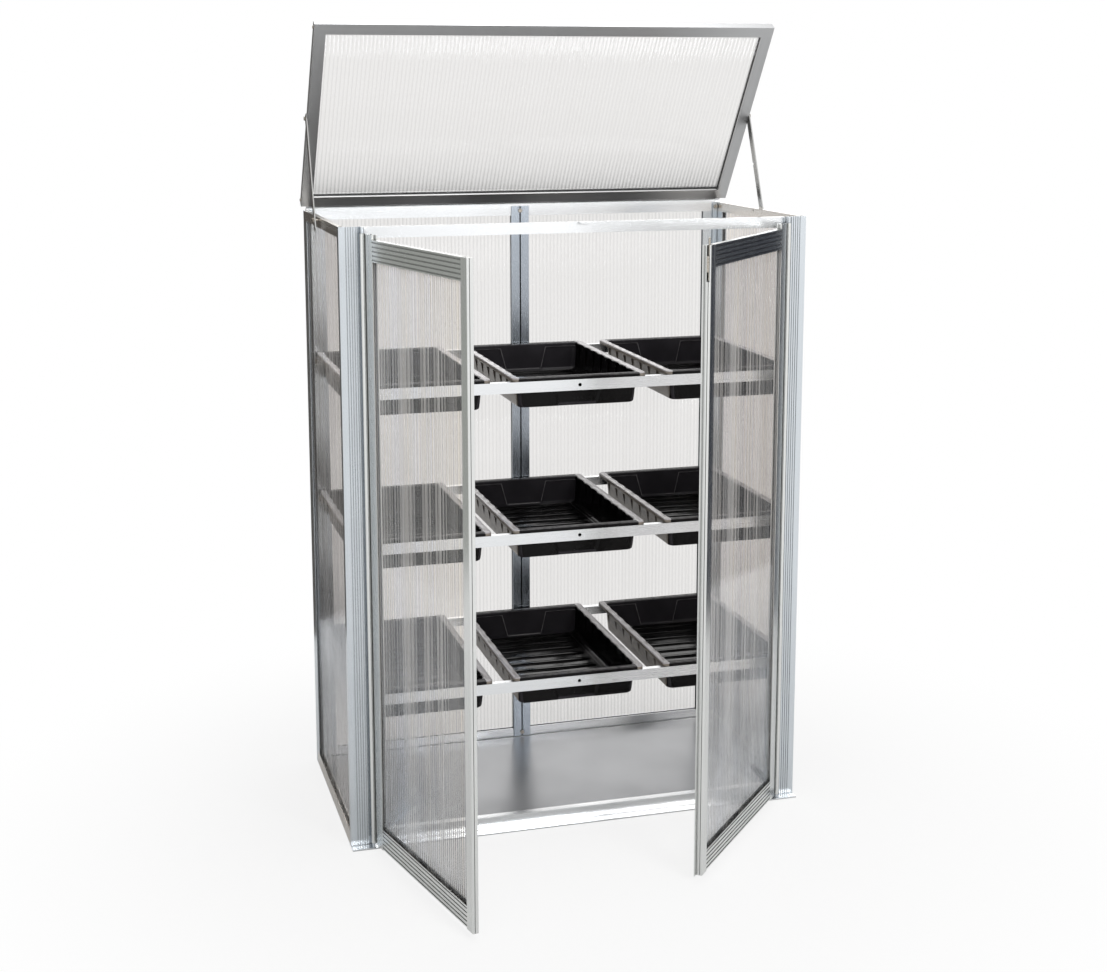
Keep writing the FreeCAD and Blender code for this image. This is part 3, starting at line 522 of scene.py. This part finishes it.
def sheets():
    x, y, z = (1, 0, 0), (0, 1, 0), (0, 0, 1)
    wall_look = {"tint": (0.93, 0.925, 0.92), "veil": 0.04, "streak": 0.03, "web_dark": 0.93}
    side_look = {"tint": (0.94, 0.925, 0.91), "veil": 0.05, "streak": 0.32, "web_dark": 0.80}
    door_look = {"tint": (0.96, 0.95, 0.94), "veil": 0.03, "streak": 0.36, "web_dark": 0.86}
    wall = sheet("wall_sheet", **wall_look, warmth=0.0, gloss_ior=1.30)
    side = sheet("side_sheet", **side_look, warmth=0.6, gloss_ior=1.10)
    for hand in ("left", "right"):
        ribbed_sheet(hand + "_rear_panel", "frame", (x, z, y), RIB_SAG, wall)
        ribbed_sheet(hand + "_side_panel", "frame", (y, z, x), RIB_SAG / 4, side)
    for hand, angle in (("left", -LEFT_DOOR_OPEN), ("right", RIGHT_DOOR_OPEN)):
        c, s = math.cos(angle), math.sin(angle)
        door = sheet(hand + "_door_sheet", **door_look, warmth=0.8, gloss_ior=1.6)
        ribbed_sheet(hand + "_door_panel", hand + "_door", ((c, s, 0), z, (-s, c, 0)), RIB_SAG, door)
    c, s = math.cos(LID_OPEN), math.sin(LID_OPEN)
    ribbed_sheet("lid_panel", "lid", (x, (0, c, -s), (0, s, c)), RIB_SAG, wall)


# Trays


def smooth(value, low, high):
    f = min(1.0, max(0.0, (value - low) / (high - low)))
    return f * f * (3 - 2 * f)


def tray_ring(half, y0, y1, inset, radius):
    """Points round a tray at one inset, each with its outward direction."""
    x = half - inset - radius
    low, high = y0 + inset + radius, y1 - inset - radius
    middles = [(x, low), (x, high), (-x, high), (-x, low)]
    points = []
    for i, (cx, cy) in enumerate(middles):
        for k in range(CORNER_STEPS + 1):
            a = (i - 1 + k / CORNER_STEPS) * math.pi / 2
            nx, ny = math.cos(a), math.sin(a)
            points.append((cx + radius * nx, cy + radius * ny, nx, ny))
        ex, ey = middles[(i + 1) % 4]
        steps = END_STEPS if i % 2 else SIDE_STEPS
        for k in range(1, steps):
            f = k / steps
            points.append((cx + (ex - cx) * f + radius * nx, cy + (ey - cy) * f + radius * ny, nx, ny))
    return points


def tray_path(deep):
    """Insets, heights and corner radii from the outer bottom edge over the rim to the inner floor."""
    path = []
    for k in range(4):
        a = k * math.pi / 6
        inset = TRAY_RIM + TRAY_DRAFT + OUTER_TURN * (1 - math.sin(a))
        path.append((inset, OUTER_TURN * (1 - math.cos(a)) - deep, TRAY_CORNER, "outer"))
    foot = OUTER_TURN - deep
    for k in range(1, 9):
        z = foot + (-TRAY_WALL - foot) * k / 8
        path.append((TRAY_RIM - TRAY_DRAFT * z / deep, z, TRAY_CORNER, "outer"))
    path += [(*ring, "plain") for ring in RIM_EDGE]
    path += [(*ring, "rim") for ring in RIM_TOP]
    top = -0.0024
    foot = TRAY_WALL + INNER_TURN - deep
    corner = TRAY_CORNER - TRAY_WALL
    for k in range(19):
        z = top + (foot - top) * k / 18
        path.append((TRAY_RIM + TRAY_WALL - TRAY_DRAFT * z / deep, z, corner, "inner"))
    for k in range(1, 5):
        a = k * math.pi / 8
        inset = TRAY_RIM + TRAY_WALL + TRAY_DRAFT + INNER_TURN * (1 - math.cos(a))
        path.append((inset, foot - INNER_TURN * math.sin(a), corner, "inner"))
    return path


def tray_inward(role, x, y, z, ends, deep):
    """How far a wall stands inwards: end walls have sunk panels, side walls faint uprights."""
    past = abs(x) - PANEL_HALF - PANEL_SLOPE * z
    if role == "outer":
        return 0.0012 * abs(ends) * (1 - smooth(past, 0.0, 0.002))
    if role == "inner":
        sunk = smooth(min(past, PANEL_TOP - z), 0.0, 0.0028) * smooth(z + deep, 0.006, 0.012)
        upright = smooth(math.cos(2 * math.pi * y / RIM_WAVE), 0.75, 0.95) * (1 - abs(ends))
        return PANEL_SUNK * abs(ends) * (1 - sunk) + 0.0008 * upright
    return 0.0


def tray_sway(role, inset, z, nx):
    """How much of the rim's wave reaches a point: all of it at the inner edge of the side rims."""
    if role == "rim":
        return smooth(abs(nx), 0.7, 1.0) * smooth(inset, 0.004, 0.012)
    if role == "inner":
        return smooth(abs(nx), 0.7, 1.0) * (1 - smooth(-z, 0.002, 0.018))
    return 0.0


def tray_shell(work, half, y0, y1, deep):
    rows = []
    for inset, z, radius, role in tray_path(deep):
        row = []
        for x, y, nx, ny in tray_ring(half, y0, y1, inset, radius):
            wave = (0.5 - 0.5 * math.cos(2 * math.pi * y / RIM_WAVE)) * tray_sway(role, inset, z, nx)
            push = tray_inward(role, x, y, z, ny, deep) + RIM_SWAY * wave
            row.append(work.verts.new((x - nx * push, y - ny * push, z - RIM_DIP * wave)))
        rows.append(row)
    for a, b in zip(rows, rows[1:]):
        for i in range(len(a)):
            j = (i + 1) % len(a)
            work.faces.new((a[i], a[j], b[j], b[i]))
    work.faces.new(reversed(rows[0]))
    work.faces.new(rows[-1])


def bar(work, middle, length, along, section):
    """Rounded bar on the tray floor, with tapered ends."""
    rows = []
    for at, size in ((-0.5, 0.3), (-0.47, 1.0), (0.47, 1.0), (0.5, 0.3)):
        row = []
        for across, up in section:
            x, y = (across * size, at * length) if along == "Y" else (at * length, across * size)
            row.append(work.verts.new((middle[0] + x, middle[1] + y, middle[2] + up * size)))
        rows.append(row)
    for a, b in zip(rows, rows[1:]):
        for i in range(len(section)):
            j = (i + 1) % len(section)
            work.faces.new((a[i], a[j], b[j], b[i]))
    work.faces.new(rows[0])
    work.faces.new(reversed(rows[-1]))


def arch(width, high):
    """Section of a flat-topped rib, with its foot a little under the floor."""
    half = [(0.5, -0.1), (0.46, 0.35), (0.36, 0.85), (0.2, 1.0)]
    left = [(-x * width, z * high) for x, z in half]
    return left + [(x * width, z * high) for x, z in reversed(half)]


def tray_ribs(work, half, y0, y1, deep):
    """Ribs on the tray floor, and thin ribs under the side rims."""
    floor_z = TRAY_WALL - deep
    reach = half - TRAY_RIM - RIB_MARGIN
    first, last = y0 + TRAY_RIM + RIB_MARGIN, y1 - TRAY_RIM - RIB_MARGIN
    for i in range(FLOOR_RIBS):
        y = first + (last - first) * i / (FLOOR_RIBS - 1)
        bar(work, (0, y, floor_z), 2 * reach, "X", arch(*FLOOR_RIB))
    near = half - TRAY_RIM - TRAY_DRAFT
    corners = [(near, SIDE_RIB_FOOT), (half - TRAY_RIM + 0.006, -TRAY_WALL), (near, -TRAY_WALL)]
    for side in (-1, 1):
        edge = (side * (reach + 0.006), (y0 + y1) / 2, floor_z)
        bar(work, edge, last - first + 0.02, "Y", arch(*EDGE_RIB))
        for i in range(SIDE_RIBS):
            y = y0 + TRAY_RIM + (i + 0.5) * (y1 - y0 - 2 * TRAY_RIM) / SIDE_RIBS
            faces = (y - SIDE_RIB_HALF, y + SIDE_RIB_HALF)
            ends = [[work.verts.new((side * x, at, z)) for x, z in corners] for at in faces]
            for k in range(3):
                j = (k + 1) % 3
                work.faces.new((ends[0][k], ends[0][j], ends[1][j], ends[1][k]))
            work.faces.new(ends[0])
            work.faces.new(reversed(ends[1]))


def tray_mesh(half, y0, y1, deep):
    """Moulded tray with X from its middle and Z from its top, as large as the CAD tray."""
    work = bmesh.new()
    tray_shell(work, half, y0, y1, deep)
    tray_ribs(work, half, y0, y1, deep)
    bmesh.ops.recalc_face_normals(work, faces=work.faces)
    mesh = bpy.data.meshes.new("tray_moulded")
    work.to_mesh(mesh)
    work.free()
    mesh.polygons.foreach_set("use_smooth", [True] * len(mesh.polygons))
    mesh.set_sharp_from_angle(angle=math.radians(38))
    return mesh


def trays():
    low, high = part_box("tray_lower_centre")
    half, reach = (high[0] - low[0]) / 2, (high[1] - low[1]) / 2
    deep = high[2] - low[2]
    mesh = tray_mesh(half, low[1], high[1], deep)
    mesh.materials.append(plastic("tray_plastic", half, (low[1] + high[1]) / 2, reach, deep))
    for node in named("tray_"):
        low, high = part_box(node)
        piece = add_object(node + "_moulded", mesh)
        piece.location = ((low[0] + high[0]) / 2, 0, high[2])
        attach(piece, node)
        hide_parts(node)


# Floor, light and camera


def floor():
    """White floor that keeps a soft shadow near the object and fades to the background, more slowly in
    reflections."""
    mesh = bpy.data.meshes.new("floor")
    r = FLOOR_HALF
    mesh.from_pydata([(-r, -r, 0), (r, -r, 0), (r, r, 0), (-r, r, 0)], [], [(0, 1, 2, 3)])
    plane = add_object("floor", mesh)
    plane.location.z = -FLOOR_DROP
    made, tree = material("floor_white")
    length = tree.add("ShaderNodeVectorMath", operation="LENGTH")
    tree.put(length.inputs[0], tree.add("ShaderNodeTexCoord").outputs["Object"])
    away = length.outputs["Value"]
    slow = tree.ramp(away, 0.8, 4.2, 0.0, 1.0)
    fast = tree.ramp(away, 0.7, 1.8, 0.80, 1.0)
    straight = tree.add("ShaderNodeLightPath").outputs["Is Camera Ray"]
    fade = tree.math("MAXIMUM", slow, tree.times(fast, straight))
    paint = tree.add("ShaderNodeBsdfDiffuse", Color=(0.92, 0.92, 0.92, 1))
    strength = tree.math("MAXIMUM", tree.seen(), 0.4)
    white = tree.add("ShaderNodeEmission", Color=(1, 1, 1, 1), Strength=strength)
    finish_material(tree, tree.mix(fade, paint, white))
    mesh.materials.append(made)


def world():
    """White background. The light that falls on the object is brighter from the front and from above."""
    made = bpy.data.worlds.new("studio")
    SCENE.world = made
    made.use_nodes = True
    tree = Tree(made.node_tree)
    way = tree.spot("Generated")
    front = tree.ramp(way["Y"], -0.75, 0.15, 0.9, 0.2)
    above = tree.ramp(way["Z"], 0.35, 0.9, 0.0, 0.45)
    strength = tree.math("MAXIMUM", front, above)
    studio = tree.add("ShaderNodeBackground", Color=(1, 1, 1, 1), Strength=strength)
    white = tree.add("ShaderNodeBackground", Color=(1, 1, 1, 1), Strength=1.0)
    mix = tree.mix(tree.seen(), studio, white)
    tree.add("ShaderNodeOutputWorld", Surface=mix.outputs[0])


def card(name, first, last, tone, far_tone):
    """Studio card on the floor, of one grey near its last corner and another further out. Only
    reflections show it."""
    (x0, y0), (x1, y1) = first, last
    mesh = bpy.data.meshes.new(name)
    corners = [(x0, y0, 0), (x1, y1, 0), (x1, y1, CARD_HEIGHT), (x0, y0, CARD_HEIGHT)]
    mesh.from_pydata(corners, [], [(0, 1, 2, 3)])
    made, tree = material(name)
    near = tree.ramp(tree.spot("Generated")["X"], 0.6, 0.85, 0.0, 1.0)
    grey = tree.colour(near, far_tone, tone)
    finish_material(tree, tree.add("ShaderNodeEmission", Color=grey, Strength=1.0))
    mesh.materials.append(made)
    piece = add_object(name, mesh)
    piece.visible_camera = False
    piece.visible_diffuse = False
    piece.visible_transmission = False
    piece.visible_shadow = False


def lamp(name, at, aim, size, power):
    data = bpy.data.lights.new(name, "AREA")
    data.shape = "DISK"
    data.size = size
    data.energy = power
    made = add_object(name, data)
    made.location = at
    made.rotation_euler = (Vector(aim) - Vector(at)).to_track_quat("-Z", "Y").to_euler()
    made.visible_camera = False
    made.visible_transmission = False


def camera():
    """The photograph's view: a long lens at head height, with the frame shifted down a little."""
    yaw, pitch, roll = (math.radians(a) for a in CAMERA_ANGLES)
    level = Vector((math.sin(yaw), math.cos(yaw), 0))
    ahead = level * math.cos(pitch) - Vector((0, 0, math.sin(pitch)))
    right = Vector((math.cos(yaw), -math.sin(yaw), 0))
    right = right * math.cos(roll) - right.cross(ahead) * math.sin(roll)
    up = right.cross(ahead)
    data = bpy.data.cameras.new("camera")
    data.sensor_fit = "HORIZONTAL"
    data.sensor_width = 36.0
    data.lens = CAMERA_LENS
    data.shift_x, data.shift_y = CAMERA_SHIFT
    data.clip_end = 60.0
    made = add_object("camera", data)
    turn = Matrix((right, up, -ahead)).transposed().to_4x4()
    made.matrix_world = Matrix.Translation(CAMERA_AT) @ turn
    SCENE.camera = made


dress_cad_nodes()
sheets()
trays()
floor()
world()
card("left_card", (-3.4, 1.7), (-0.64, 1.7), (0.075, 0.068, 0.062), (0.34, 0.35, 0.33))
card("right_card", (2.0, -0.1), (2.0, 1.6), (0.034, 0.038, 0.050), (0.034, 0.038, 0.050))
lamp("key", at=(1.6, -5.0, 3.2), aim=(0, 0, 0.9), size=2.2, power=110)
lamp("fill", at=(-3.4, -4.4, 2.2), aim=(0, 0, 0.8), size=2.4, power=16)
lamp("top", at=(0.2, 0.6, 4.4), aim=(0, 0.2, 0.5), size=2.4, power=40)
lamp("back", at=(1.0, 3.8, 2.0), aim=(0.1, 0.3, 0.7), size=2.6, power=19)
camera()

SCENE.view_settings.view_transform = "Standard"
SCENE.cycles.max_bounces = 24
SCENE.cycles.transmission_bounces = 20
SCENE.cycles.transparent_max_bounces = 32
